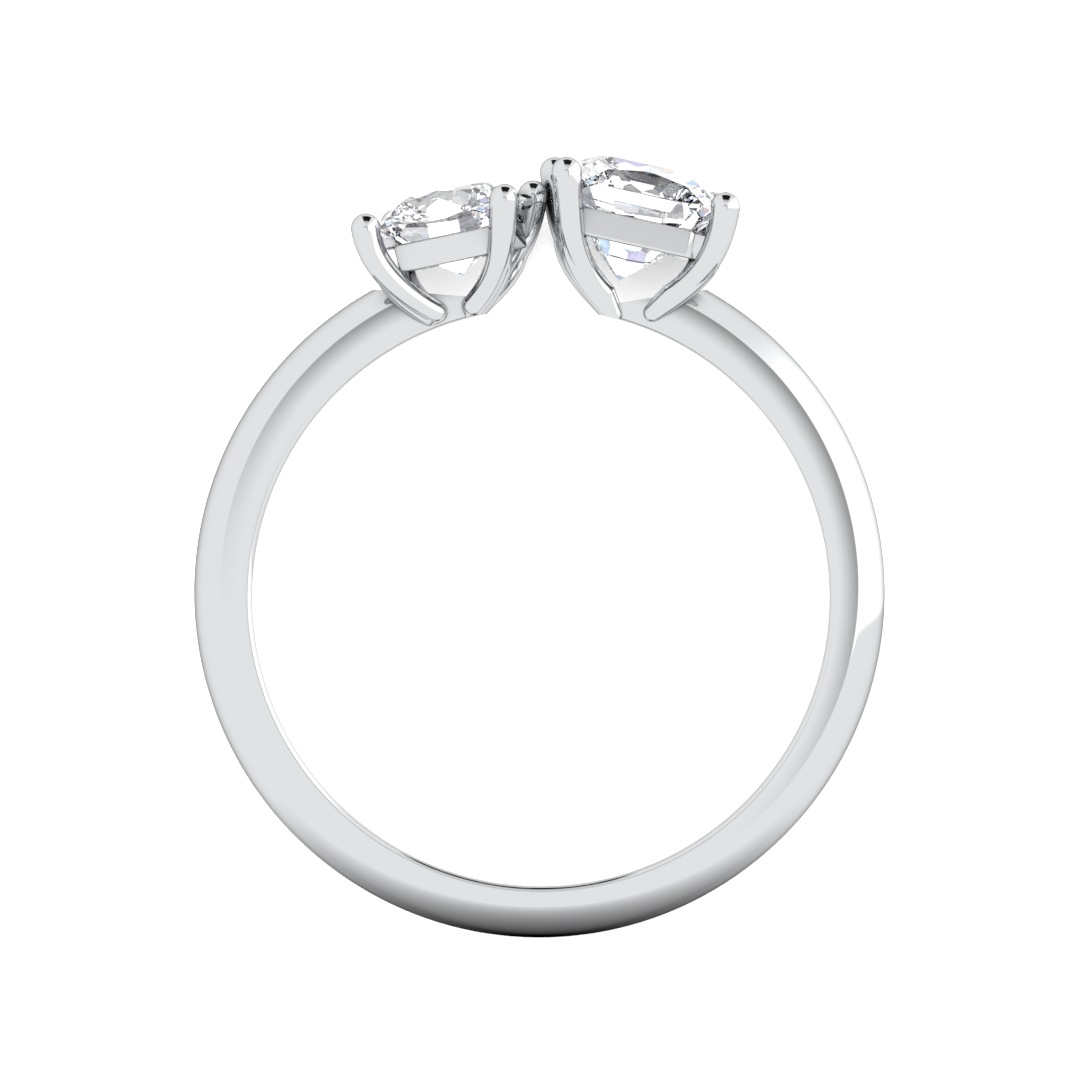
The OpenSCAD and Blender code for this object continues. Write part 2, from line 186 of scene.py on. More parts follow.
class Head:
    """One head: its place and lean on the ring, its stone, and the feet of its claws."""

    def __init__(self, side, at, rise, lean, turn, stone_w, seat, pavilion, outer, inner):
        self.side, self.at, self.rise, self.lean, self.turn = side, at, rise, lean, turn
        self.stone_w, self.seat, self.pavilion = stone_w, seat, pavilion
        self.outer, self.inner = outer, inner

    def point(self, u, w, v):
        """u across, w to the front and v up from the rail's top, in the ring's frame."""
        x = u * cos(self.turn) + w * sin(self.turn)
        z = -u * sin(self.turn) + w * cos(self.turn)
        tilt = self.side * self.lean
        across, up = x * cos(tilt) + v * sin(tilt), -x * sin(tilt) + v * cos(tilt)
        return on_ring(self.side, self.at, self.rise) + np.array([across, up, z])

    def ball(self, across, front):
        half = self.stone_w / 2 - BALL_INSET
        height = self.seat + BALL_RISE
        return self.point(self.side * across * half, front * half, height)

    def feet(self, across):
        return self.outer if across > 0 else self.inner

    def rail_half(self):
        share = 1 - (self.seat - GIRDLE_T / 2) / self.pavilion
        return self.stone_w / 2 * share + STONE_GAP + RAIL_PROUD


def on_ring(side, angle, height):
    reach = INNER_R + height
    return np.array([side * sin(angle) * reach, cos(angle) * reach, 0.0])


def on_shank(side, angle, share):
    return on_ring(side, angle, share * BAND_T)


# Feet: angle from straight up, height as a share of the shank's thickness and slope on
# arrival of the claw, then angle and height of its lower strand
CUSHION = Head(
    side=-1, at=13.4, rise=2.43, lean=11.8, turn=-11.5,
    stone_w=4.28, seat=0.49, pavilion=CUSHION_PAVILION,
    outer=(20.2, 0.265, 62, 21.6, 0.222), inner=(13, 0.185, 42, 13.2, 0.074),
)
RADIANT = Head(
    side=1, at=13.7, rise=2.9, lean=12.5, turn=4.3,
    stone_w=4.8, seat=0.69, pavilion=RADIANT_PAVILION,
    outer=(23.3, 0.704, 58, 21.4, 0.296), inner=(11.8, 0.383, 44, 14.3, 0.062),
)
CORNERS = [(across, front) for across in (-1, 1) for front in (-1, 1)]


def rest_turn():
    """Rotation from the ring's own frame to how it rests, as part.scad works it out."""
    left, right = CUSHION.ball(1, -1), RADIANT.ball(1, -1)
    dome_drop = math.sqrt(BAND_DOME_R**2 - (BAND_W_BACK / 2) ** 2)
    edge_back = OUTER_R - OUTER_SHIFT - BAND_DOME_R + dome_drop
    depth = -(left[2] + right[2]) / 2 + BALL_R - BAND_W_BACK / 2
    tilt = math.atan(depth / ((left[1] + right[1]) / 2 + edge_back))
    roll = math.atan((right[2] - left[2]) / (right[0] - left[0]))
    return Matrix.Rotation(tilt, 4, "X") @ Matrix.Rotation(-roll, 4, "Y")


REST = rest_turn()


# Mesh tools


def add_object(name, data):
    obj = bpy.data.objects.new(name, data)
    bpy.context.scene.collection.objects.link(obj)
    return obj


def new_object(name, points, faces):
    mesh = bpy.data.meshes.new(name)
    mesh.from_pydata([tuple(p) for p in points], [], faces)
    mesh.validate()
    return add_object(name, mesh)


def bake_modifiers(obj):
    """Makes what an object's modifiers give into its own mesh."""
    graph = bpy.context.evaluated_depsgraph_get()
    made = bpy.data.meshes.new_from_object(obj.evaluated_get(graph))
    old = obj.data
    obj.modifiers.clear()
    obj.data = made
    bpy.data.meshes.remove(old)


def boolean(target, tool, operation):
    """Adds tool to target, or cuts it out of target, and deletes tool."""
    modifier = target.modifiers.new("boolean", "BOOLEAN")
    modifier.operation = operation
    modifier.solver = "MANIFOLD"
    modifier.object = tool
    bake_modifiers(target)
    mesh = tool.data
    bpy.data.objects.remove(tool)
    bpy.data.meshes.remove(mesh)


def loft(name, rings, closed=False):
    """Skins a list of rings of equal length. Open ends are closed with a flat face."""
    n, m = len(rings[0]), len(rings)
    points = [p for ring in rings for p in ring]
    faces = []
    for i in range(m if closed else m - 1):
        a, b = i * n, (i + 1) % m * n
        for k in range(n):
            j = (k + 1) % n
            faces.append((a + k, a + j, b + j, b + k))
    if not closed:
        faces.append(tuple(reversed(range(n))))
        faces.append(tuple(range((m - 1) * n, m * n)))
    obj = new_object(name, points, faces)
    face_out(obj)
    return obj


def face_out(obj):
    bm = bmesh.new()
    bm.from_mesh(obj.data)
    bmesh.ops.recalc_face_normals(bm, faces=bm.faces)
    if bm.calc_volume(signed=True) < 0:
        bmesh.ops.reverse_faces(bm, faces=bm.faces)
    bm.to_mesh(obj.data)
    bm.free()


def hull(name, points):
    bm = bmesh.new()
    for p in points:
        bm.verts.new(tuple(p))
    made = bmesh.ops.convex_hull(bm, input=bm.verts)
    spare = [g for g in made["geom_interior"] if isinstance(g, bmesh.types.BMVert)]
    bmesh.ops.delete(bm, geom=spare, context="VERTS")
    flat = math.radians(FLAT_ANGLE)
    bmesh.ops.dissolve_limit(bm, angle_limit=flat, verts=bm.verts, edges=bm.edges)
    mesh = bpy.data.meshes.new(name)
    bm.to_mesh(mesh)
    bm.free()
    obj = add_object(name, mesh)
    face_out(obj)
    return obj


def bevel(obj, width, segments):
    bm = bmesh.new()
    bm.from_mesh(obj.data)
    bmesh.ops.bevel(
        bm, geom=bm.edges, offset=width, segments=segments, profile=0.5,
        affect="EDGES", clamp_overlap=True,
    )
    bm.to_mesh(obj.data)
    bm.free()


# The metal


def bezier(line, t):
    a, b, c, d = line
    s = 1 - t
    return a * s**3 + b * 3 * t * s**2 + c * 3 * t**2 * s + d * t**3


def claw_line(head, across, front):
    """Centre line of a claw: straight down from the ball, then in to its foot."""
    top = head.ball(across, front)
    angle, share, slope = head.feet(across)[:3]
    foot = on_shank(head.side, angle, share) + [0, 0, front * CLAW_FOOT_Z]
    inward = -head.side * across
    bow = (top[1] - foot[1]) * CLAW_BOW
    lean = inward * sin(CLAW_TOP_SLOPE)
    down = np.array([lean, -cos(CLAW_TOP_SLOPE), -front * CLAW_TOP_DRAW])
    arrive = np.array([inward * sin(slope), -cos(slope), -front * CLAW_FOOT_DRAW])
    return [top, top + down * bow, foot - arrive * bow, foot]


def strand_line(head, across, front):
    """Centre line of the lower strand, which parts from the underside of its claw."""
    claw = claw_line(head, across, front)
    start = bezier(claw, STRAND_FROM)
    slope, angle, share = head.feet(across)[2:]
    foot = on_shank(head.side, angle, share) + [0, 0, front * STRAND_FOOT_Z]
    inward = -head.side * across
    bow = (start[1] - foot[1]) * STRAND_BOW
    before = bezier(claw, STRAND_FROM - STRAND_BEFORE)
    past = bezier(claw, STRAND_FROM + STRAND_PAST)
    down = unit(past - before - [inward * STRAND_PART, 0, 0])
    arrive = np.array([inward * sin(slope), -cos(slope), -front * STRAND_FOOT_DRAW])
    return [start, start + down * bow, foot - arrive * bow, foot]


def ring_at(centre, along, side, r):
    x = unit(np.cross(along, side))
    y = unit(np.cross(along, x))
    angles = np.arange(TUBE_SIDES) * 2 * np.pi / TUBE_SIDES
    return centre + r * (np.outer(np.cos(angles), x) + np.outer(np.sin(angles), y))


def tube(name, line, radius, side, rings, round_start):
    """Round bar along a curve. Its foot is a half ball, and so is its start if asked.
    CAP_REACH, under 90, keeps the last ring of a cap from shrinking to a point."""
    first, last = unit(line[1] - line[0]), unit(line[3] - line[2])
    cap = [CAP_REACH * i / CAP_RINGS for i in range(1, CAP_RINGS + 1)]
    made = []
    if round_start:
        for a in reversed(cap):
            centre = line[0] - first * radius(0) * sin(a)
            made.append(ring_at(centre, first, side, radius(0) * cos(a)))
    for i in range(rings + 1):
        t = i / rings
        before, past = max(0, t - TUBE_STEP), min(1, t + TUBE_STEP)
        along = unit(bezier(line, past) - bezier(line, before))
        made.append(ring_at(bezier(line, t), along, side, radius(t)))
    for a in cap:
        centre = line[3] + last * radius(1) * sin(a)
        made.append(ring_at(centre, last, side, radius(1) * cos(a)))
    return loft(name, made)


def ease(t):
    t = min(1, max(0, t))
    return t * t * (3 - 2 * t)


def claw_radius(t):
    taper = CLAW_R + (CLAW_FOOT_R - CLAW_R) * t
    return taper + (BALL_R - CLAW_R) * (1 - ease(t / BALL_BLEND))


def strand_radius(t):
    start = CLAW_FOOT_R * STRAND_SLIM
    return start + (STRAND_R - start) * t


def solder_radius(t):
    return CLAW_FOOT_R + (STRAND_R - CLAW_FOOT_R) * t - SOLDER_SLIM


def rounded_square(half, radius):
    """Outline of a square with round corners, with equally many points each time."""
    points = []
    flat = half - radius
    for quarter in range(4):
        turn = 90 * quarter
        points += [(half, w, turn) for w in (CORNER_EASE - flat, flat - CORNER_EASE)]
        for a in quarter_turn(CORNER_STEPS):
            points.append((flat + radius * cos(a), flat + radius * sin(a), turn))
    return [(x * cos(t) - y * sin(t), x * sin(t) + y * cos(t)) for x, y, t in points]


def rail(head):
    """Gallery rail: a square ring with turned corners and rounded edges."""
    outer, hole = head.rail_half(), head.rail_half() - RAIL_T
    corner = outer * RAIL_TURN
    fillet = [
        (RAIL_FILLET * (1 - cos(a)), RAIL_FILLET * (1 - sin(a)))
        for a in quarter_turn(FILLET_STEPS)
    ]
    rings = []

    def add(size, radius, v):
        rings.append([head.point(u, w, v) for u, w in rounded_square(size, radius)])

    for inset, drop in fillet:
        add(outer - inset, corner - inset, -drop)
    for drop, inset in fillet:
        add(hole + inset, RAIL_HOLE_CROP + inset, -drop)
    for inset, rise in fillet:
        add(hole + inset, RAIL_HOLE_CROP + inset, rise - RAIL_H)
    for rise, inset in fillet:
        add(outer - inset, corner - inset, rise - RAIL_H)
    return loft("rail", rings, closed=True)


def claw_at_height(head, across, front, v):
    line = claw_line(head, across, front)
    tilt = head.side * head.lean
    up = np.array([sin(tilt), cos(tilt), 0])
    level = on_ring(head.side, head.at, head.rise) @ up + v
    steps = [bezier(line, i / CLAW_SAMPLES) for i in range(CLAW_SAMPLES + 1)]
    return min(steps, key=lambda p: abs(p @ up - level))


def arm(head, across, front):
    """Short arm from a corner of the rail to its claw."""
    corner = head.rail_half() * (1 - RAIL_TURN / 2) - ARM_SUNK
    face = unit(np.array([front, 0, -head.side * across])) * ARM_T / 2
    points = []
    for v in (-ARM_DROP, ARM_DROP - RAIL_H):
        for p in (
            head.point(head.side * across * corner, front * corner, v),
            claw_at_height(head, across, front, v),
        ):
            points += [p + face, p - face]
    made = hull("arm", points)
    bevel(made, ARM_BEVEL, ARM_BEVEL_STEPS)
    return made


def shank_half_width(y):
    taper = (BAND_W_HEAD - BAND_W_BACK) / 2 / (2 * INNER_R)
    return BAND_W_BACK / 2 + taper * (y + INNER_R)


def shank_radius(angle, z):
    """Distance of the domed outside from the finger hole's axis."""
    along = np.array([sin(angle), cos(angle)])
    middle = OUTER_SHIFT * np.array([-sin(BAND_T_TURN), cos(BAND_T_TURN)])
    rho = OUTER_R - BAND_DOME_R + math.sqrt(max(0, BAND_DOME_R**2 - z**2))
    return along @ middle + math.sqrt((along @ middle) ** 2 - middle @ middle + rho**2)


def shank_section(angle):
    """Half the outline of the shank as radius and height, from the bore to the crest. Its
    side is flat at the bore and bends down a little before it meets the dome."""
    inner = [(INNER_R, 0.0)]
    half = shank_half_width(INNER_R * cos(angle))
    for a in quarter_turn(FILLET_STEPS):
        depth, inset = INNER_FILLET * (1 - cos(a)), INNER_FILLET * (1 - sin(a))
        inner.append((INNER_R + depth, half - inset))
    edge_y = shank_radius(angle, half) * cos(angle)
    edge_r = shank_radius(angle, shank_half_width(edge_y))
    edge_half = shank_half_width(edge_r * cos(angle))
    bend = min(SIDE_BEND, edge_r - INNER_R - INNER_FILLET - SIDE_FLAT)
    drop = bend * tan(SIDE_TURN / 2)
    side = []
    for t in [*(k / BEND_STEPS for k in range(BEND_STEPS)), 1 - SIDE_EASE / bend, 1]:
        r = edge_r - bend * (1 - t) - SIDE_EASE * t
        side.append((r, shank_half_width(r * cos(angle)) - drop * t * t))
    top = edge_half - drop
    heights = [(top - SIDE_EASE / 2) * cos(a) for a in quarter_turn(BAND_DOME_STEPS)]
    dome = [(shank_radius(angle, z * edge_half / top), z) for z in heights]
    return inner, side, dome


def shank():
    rings = []
    start, end = RADIANT_END, 360 - CUSHION_END
    for i in range(BAND_STEPS + 1):
        angle = start + (end - start) * i / BAND_STEPS
        upper = [point for part in shank_section(angle) for point in part]
        outline = upper + [(r, -z) for r, z in reversed(upper[1:-1])]
        rings.append([(r * sin(angle), r * cos(angle), z) for r, z in outline])
    made = loft("shank", rings)
    for side, row in ((-1, CUSHION_SADDLE), (1, RADIANT_SADDLE)):
        boolean(made, saddle(side, row), "DIFFERENCE")
    return made


def saddle(side, row):
    """Block above the flat that an end of the shank is cut to, on its own side only."""
    angle, share, slope = row
    origin = on_shank(side, angle, share)
    along = np.array([cos(side * slope), sin(side * slope), 0])
    up = np.array([-along[1], along[0], 0])
    inner = origin - along * (origin[0] / along[0])
    outer = origin + along * side * SADDLE_REACH
    corners = inner, outer, inner + [0, SADDLE_REACH, 0], outer + up * SADDLE_REACH
    points = [p + [0, 0, z] for z in (-SADDLE_HALF, SADDLE_HALF) for p in corners]
    return hull("saddle", points)


def bore(radius, half):
    angles = np.arange(BORE_SIDES) * 2 * np.pi / BORE_SIDES
    flat = np.stack([np.sin(angles) * radius, np.cos(angles) * radius], 1)
    return loft("bore", [[(x, y, z) for x, y in flat] for z in (-half, half)])


def corner_parts(head, across, front):
    """Claw, lower strand and arm of a corner, and the solder between the two feet."""
    side = unit(np.array([front, 0, head.side * across]))
    claw = claw_line(head, across, front)
    strand = strand_line(head, across, front)
    start, end = claw[3], strand[3]
    joined = [start + (end - start) * t for t in (0, 1 / 3, 2 / 3, 1)]
    return [
        tube("claw", claw, claw_radius, side, CLAW_RINGS, True),
        tube("strand", strand, strand_radius, side, STRAND_RINGS, False),
        arm(head, across, front),
        tube("solder", joined, solder_radius, side, SOLDER_RINGS, True),
    ]


def ring_metal():
    """Shank, claws, rails and arms, fused into one closed body as solder would."""
    parts = []
    for head in (CUSHION, RADIANT):
        parts.append(rail(head))
        for across, front in CORNERS:
            parts += corner_parts(head, across, front)
    claws = parts[0]
    for part in parts[1:]:
        boolean(claws, part, "UNION")
    boolean(claws, bore(INNER_R + BORE_EASE, BORE_HALF), "DIFFERENCE")
    body = shank()
    boolean(body, claws, "UNION")
    boolean(body, seated(CUSHION, cushion_envelope()), "DIFFERENCE")
    boolean(body, seated(RADIANT, radiant_envelope()), "DIFFERENCE")
    body.name = body.data.name = "polished_ring_mount"
    return body


# The stones


def girdle_row(slope, azimuth, distance, height):
    return (slope, azimuth, (distance * tan(slope) + GIRDLE_T / 2) / height)


def slope_to(height, distance):
    return math.degrees(math.atan((height - GIRDLE_T / 2) / distance))


CUSHION_HALF = CUSHION.stone_w / 2
CUSHION_CORNER = CUSHION_HALF * math.sqrt(2) / 2 ** (1 / CUSHION_SQUARE)
RADIANT_HALF = RADIANT.stone_w / 2
RADIANT_CORNER = (RADIANT.stone_w - RADIANT_CROP) / math.sqrt(2)

# Rows of facets, as part.scad has them: slope, azimuth and share of the stone's height
CUSHION_CROWN_MAIN = [
    girdle_row(42, 0, CUSHION_HALF, CUSHION_CROWN),
    girdle_row(37, 45, CUSHION_CORNER, CUSHION_CROWN),
]
CUSHION_PAVILION_MAIN = [
    (slope_to(CUSHION_PAVILION, CUSHION_HALF), 0, 1),
    girdle_row(46, 45, CUSHION_CORNER, CUSHION_PAVILION),
]
RADIANT_CROWN_MAIN = [
    girdle_row(44.5, 0, RADIANT_HALF, RADIANT_CROWN),
    girdle_row(42, 45, RADIANT_CORNER, RADIANT_CROWN),
]
RADIANT_PAVILION_MAIN = [
    (slope_to(RADIANT_PAVILION, RADIANT_HALF), 0, 1),
    girdle_row(56, 45, RADIANT_CORNER, RADIANT_PAVILION),
]
CUSHION_CROWN_SMALL = [(36, 23, 2.2), (31, 0, 1.87), (28, 45, 1.93), (20, 22, 1.5)]
CUSHION_PAVILION_SMALL = [
    (40.5, 14, 0.985), (38, 27, 0.97), (36, 45, 0.98), (35, 8, 0.9),
]
RADIANT_CROWN_SMALL = [(35, 0, 2.1), (34, 24, 2.22), (30, 45, 2.08), (24, 12, 1.6)]
RADIANT_PAVILION_SMALL = [
    (47, 12, 0.985), (44, 27, 0.96), (41, 8, 0.9), (38.5, 45, 0.955),
]

# The finest facets, which part.scad leaves out: slope, azimuth and depth under the edge
# of the girdle
CUSHION_CROWN_FAN = [(42.5, 10, 0.0), (40, 19, 0.01), (34, 12, 0.03), (29, 33, -0.02)]
CUSHION_PAVILION_FAN = [
    (43, 4, 0.02), (45, 9, 0.03), (47, 15, 0.03), (44, 22, 0.04), (42, 33, 0.05),
]
RADIANT_CROWN_FAN = [
    (43.5, 9, 0.01), (41, 16, -0.03), (38, 6, -0.1), (36, 12, -0.13), (39, 31, -0.05),
    (33, 30, -0.2),
]


def azimuths(azimuth):
    """Where a facet repeats: in fours on the axes and diagonals, else in eights."""
    mirrored = (1,) if azimuth in (0, 45) else (-1, 1)
    return [90 * quarter + s * azimuth for quarter in range(4) for s in mirrored]


def facet_normal(slope, turn, up):
    return (sin(slope) * cos(turn), sin(slope) * sin(turn), up * cos(slope))


def facets(rows, height, grow, up):
    """Half-spaces (normal, distance) of each row: crown (up 1) or pavilion (up -1)."""
    made = []
    for slope, azimuth, share in rows:
        limit = share * height * cos(slope) + grow
        made += [(facet_normal(slope, turn, up), limit) for turn in azimuths(azimuth)]
    return made


def girdle_fan(outline, rows, up):
    """Half-spaces of the small facets near the girdle, which follow its outline."""
    points = np.array(outline)
    made = []
    for slope, azimuth, depth in rows:
        for turn in azimuths(azimuth):
            reach = (points @ np.array([cos(turn), sin(turn)])).max()
            limit = reach * sin(slope) + GIRDLE_T / 2 * cos(slope) - depth
            made.append((facet_normal(slope, turn, up), limit))
    return made


def outline_planes(points):
    made = []
    for (x0, y0), (x1, y1) in zip(points, points[1:] + points[:1]):
        normal = unit(np.array([y1 - y0, x0 - x1, 0.0]))
        made.append((tuple(normal), normal[0] * x0 + normal[1] * y0))
    return made


def cut(planes, name):
    """Convex body inside all the half-spaces, one flat face to each. Its corners are the
    points where three planes meet and that no other plane cuts off."""
    parallel, outside, digits = 1e-6, 1e-7, 5
    normals = np.array([n for n, _ in planes])
    limits = np.array([d for _, d in planes])
    every = range(len(planes))
    i, j, k = (g.ravel() for g in np.meshgrid(every, every, every, indexing="ij"))
    keep = (i < j) & (j < k)
    i, j, k = i[keep], j[keep], k[keep]
    systems = np.stack([normals[i], normals[j], normals[k]], 1)
    rights = np.stack([limits[i], limits[j], limits[k]], 1)
    good = np.abs(np.linalg.det(systems)) > parallel
    points = np.linalg.solve(systems[good], rights[good][..., None])[..., 0]
    points = points[(points @ normals.T <= limits + outside).all(1)]
    return hull(name, np.unique(np.round(points, digits), axis=0))


def cushion_outline(grow):
    """Square with bulging sides."""
    half, power = CUSHION_HALF + grow, CUSHION_SQUARE
    points = []
    for k in range(CUSHION_SIDES):
        turn = 360 * (k + 0.5) / CUSHION_SIDES
        c, s = cos(turn), sin(turn)
        size = half / (abs(c) ** power + abs(s) ** power) ** (1 / power)
        points.append((c * size, s * size))
    return points


def radiant_outline(grow):
    """Square with cropped corners."""
    half, crop = RADIANT_HALF + grow, RADIANT_CROP + grow * (2 - math.sqrt(2))
    points = []
    for quarter in range(4):
        c, s = cos(90 * quarter), sin(90 * quarter)
        for x, y in ((half, crop - half), (half, half - crop)):
            points.append((x * c - y * s, x * s + y * c))
    return points


def stone(name, outline, crown, pavilion, grow=0, extra=()):
    """Stone in its own frame, table up. crown and pavilion are each height and rows."""
    planes = outline_planes(outline) + list(extra)
    planes += facets(crown[1], crown[0], grow, 1)
    planes += facets(pavilion[1], pavilion[0], grow, -1)
    planes += [((0, 0, 1), crown[0] + grow), ((0, 0, -1), pavilion[0] + grow)]
    return cut(planes, name)


def cut_cushion():
    outline = cushion_outline(0)
    fan = girdle_fan(outline, CUSHION_CROWN_FAN, 1)
    fan += girdle_fan(outline, CUSHION_PAVILION_FAN, -1)
    return stone(
        "cut_cushion_stone", outline,
        (CUSHION_CROWN, CUSHION_CROWN_MAIN + CUSHION_CROWN_SMALL),
        (CUSHION_PAVILION, CUSHION_PAVILION_MAIN + CUSHION_PAVILION_SMALL), extra=fan,
    )


def cut_radiant():
    outline = radiant_outline(0)
    return stone(
        "cut_radiant_stone", outline,
        (RADIANT_CROWN, RADIANT_CROWN_MAIN + RADIANT_CROWN_SMALL),
        (RADIANT_PAVILION, RADIANT_PAVILION_MAIN + RADIANT_PAVILION_SMALL),
        extra=girdle_fan(outline, RADIANT_CROWN_FAN, 1),
    )


def cushion_envelope():
    return stone(
        "envelope", cushion_outline(STONE_GAP), (CUSHION_CROWN, CUSHION_CROWN_MAIN),
        (CUSHION_PAVILION, CUSHION_PAVILION_MAIN), STONE_GAP,
    )


def radiant_envelope():
    return stone(
        "envelope", radiant_outline(STONE_GAP), (RADIANT_CROWN, RADIANT_CROWN_MAIN),
        (RADIANT_PAVILION, RADIANT_PAVILION_MAIN), STONE_GAP,
    )


def seated(head, obj):
    """Moves a stone from its own frame, table up, to its seat in the head."""
    for vertex in obj.data.vertices:
        x, y, z = vertex.co
        vertex.co = Vector(head.point(x, y, z + head.seat))
    face_out(obj)
    return obj


# Shader graphs


class Graph:
    """Node tree with short ways to add the nodes that the shaders here use."""

    def __init__(self, tree):
        self.nodes, self.links = tree.nodes, tree.links

    def put(self, socket, value):
        """Sets an input: to another node's output, or to a number or colour."""
        if isinstance(value, bpy.types.NodeSocket):
            self.links.new(value, socket)
        elif socket.type == "RGBA":
            socket.default_value = (*value, 1)
        else:
            socket.default_value = value

    def add(self, kind, inputs=None, **settings):
        node = self.nodes.new("ShaderNode" + kind)
        for name, value in settings.items():
            setattr(node, name, value)
        for name, value in (inputs or {}).items():
            self.put(node.inputs[name], value)
        return node

    def calc(self, operation, first, second=0.0):
        return self.add("Math", {0: first, 1: second}, operation=operation).outputs[0]

    def product(self, *values):
        made = values[0]
        for value in values[1:]:
            made = self.calc("MULTIPLY", made, value)
        return made

    def ramp(self, value, span, to=(0.0, 1.0), kind="SMOOTHSTEP"):
        """Takes a value from one span to another, and holds it there past its ends."""
        inputs = {"Value": value, "From Min": span[0], "From Max": span[1]}
        inputs.update({"To Min": to[0], "To Max": to[1]})
        return self.add("MapRange", inputs, interpolation_type=kind).outputs["Result"]

    def along(self, vector, direction):
        """Length of a vector in a direction."""
        inputs = {0: vector, 1: direction}
        return self.add("VectorMath", inputs, operation="DOT_PRODUCT").outputs["Value"]

    def colours(self, value, stops, kind="LINEAR"):
        """Colour ramp, from rows of place and colour."""
        node = self.add("ValToRGB", {"Fac": value})
        node.color_ramp.interpolation = kind
        elements = node.color_ramp.elements
        elements.remove(elements[1])
        for i, (share, colour) in enumerate(stops):
            stop = elements.new(share) if i else elements[0]
            stop.position, stop.color = share, (*colour, 1)
        return node.outputs["Color"]

    def choose(self, share, first, second):
        """The first colour where share is 0 and the second where it is 1."""
        node = self.add("Mix", {"Factor": share}, data_type="RGBA")
        sockets = [socket for socket in node.inputs if socket.type == "RGBA"]
        self.put(sockets[0], first)
        self.put(sockets[1], second)
        return next(socket for socket in node.outputs if socket.type == "RGBA")

    def noise(self, place, scale, detail):
        inputs = {"Vector": place, "Scale": scale, "Detail": detail}
        return self.add("TexNoise", inputs).outputs["Fac"]

    def bump(self, height, strength, depth):
        inputs = {"Height": height, "Strength": strength, "Distance": depth}
        return self.add("Bump", inputs).outputs["Normal"]


def new_material(name):
    material = bpy.data.materials.new(name)
    material.use_nodes = True
    material.node_tree.nodes.clear()
    graph = Graph(material.node_tree)
    return material, graph, graph.add("OutputMaterial").inputs["Surface"]


# Materials


def white_gold():
    """Mirror polish with a faint haze of fine wear, a barely uneven surface and the
    grey of the polish that stays in the creases."""
    material, graph, surface = new_material("polished_white_gold")
    place = graph.add("TexCoord").outputs["Object"]
    near = {"Distance": CREASE_SHADE_REACH}
    crease = graph.add("AmbientOcclusion", near, samples=CREASE_SHADE_SAMPLES)
    greys = zip(CREASE_SHADE_SPAN, (CREASE_SHADE_COLOUR, METAL_COLOUR))
    haze = graph.noise(place, *HAZE_NOISE)
    ripple = graph.noise(place, *RIPPLE_NOISE)
    metal = graph.add("BsdfPrincipled", {
        "Base Color": graph.colours(crease.outputs["AO"], greys),
        "Metallic": 1,
        "Specular Tint": METAL_EDGE,
        "Roughness": graph.ramp(haze, HAZE_SPAN, HAZE_ROUGHNESS, "LINEAR"),
        "Normal": graph.bump(ripple, *RIPPLE_BUMP),
    })
    graph.put(surface, metal.outputs["BSDF"])
    return material


def diamond():
    """Clear stone with faint clouds in its colour and a trace of polishing lines."""
    material, graph, surface = new_material("diamond")
    place = graph.add("TexCoord").outputs["Object"]
    cloud = graph.noise(place, *CLOUD_NOISE)
    lines = {"Vector": place, "Scale": LINES_SCALE, "Distortion": LINES_WAVER}
    clear = graph.add("BsdfGlass", {
        "Color": graph.colours(cloud, [(0, DIAMOND_TINT), (1, CLOUD_COLOUR)]),
        "Roughness": 0,
        "IOR": DIAMOND_INDEX,
        "Normal": graph.bump(graph.add("TexWave", lines).outputs["Fac"], *LINES_BUMP),
    })
    graph.put(surface, clear.outputs["BSDF"])
    return material


def pale_floor():
    material, graph, surface = new_material("pale_floor")
    inputs = {"Base Color": FLOOR_COLOUR, "Roughness": FLOOR_ROUGHNESS}
    graph.put(surface, graph.add("BsdfPrincipled", inputs).outputs["BSDF"])
    return material


def graduated_card():
    """Glow of the low card: dark in the middle, brighter aside, ahead and behind."""
    # Painted shade and light: a glow that only the metal reflects, dark in the middle
    # where the shadow under the ring stands
    material, graph, surface = new_material("graduated_card")
    place = graph.add("TexCoord").outputs["Object"]
    x, _, z = graph.add("SeparateXYZ", {0: place}).outputs
    aside = graph.ramp(graph.calc("ABSOLUTE", x), in_metres(CARD_ASIDE))
    ahead = graph.ramp(z, in_metres(CARD_AHEAD), kind="LINEAR")
    behind = graph.ramp(z, in_metres(CARD_BEHIND))
    either = graph.calc("ADD", aside, ahead)
    front = graph.calc("SUBTRACT", either, graph.product(aside, ahead))
    light = graph.product(graph.calc("MAXIMUM", front, behind), TENT_LIGHT)
    graph.put(surface, graph.add("Emission", {"Strength": light}).outputs[0])
    return material


# The scene


def finish_metal(obj):
    """Sets the metal down in metres as it rests, smooth but for its crisp edges."""
    obj.data.transform(REST @ Matrix.Scale(MM, 4))
    obj.data.shade_smooth()
    obj.data.set_sharp_from_angle(angle=math.radians(SMOOTH_ANGLE))
    modifier = obj.modifiers.new("weighted", "WEIGHTED_NORMAL")
    modifier.keep_sharp = True
    bake_modifiers(obj)
    obj.data.name = obj.name
    obj.data.materials.clear()
    obj.data.materials.append(white_gold())


def finish_stone(head, obj, material):
    seated(head, obj)
    obj.data.transform(REST @ Matrix.Scale(MM, 4))
    obj.data.materials.append(material)


def camera():
    """Camera on the finger hole's axis, as far off as the photograph's long lens."""
    data = bpy.data.cameras.new("camera")
    data.lens = CAMERA_SENSOR * CAMERA_DISTANCE / CAMERA_FRAME
    data.sensor_width = CAMERA_SENSOR
    data.clip_start, data.clip_end = CAMERA_CLIP
    obj = add_object("camera", data)
    place = Vector((*CAMERA_AIM, CAMERA_DISTANCE)) * MM
    obj.matrix_world = REST @ Matrix.Translation(place)
    bpy.context.scene.camera = obj


def floor():
    low, far = CAD_BOX[0].z, FLOOR_HALF
    corners = [(-far, -far, low), (far, -far, low), (far, far, low), (-far, far, low)]
    obj = new_object("floor", corners, [(0, 1, 2, 3)])
    obj.data.materials.append(pale_floor())
    obj.visible_glossy = obj.visible_transmission = False


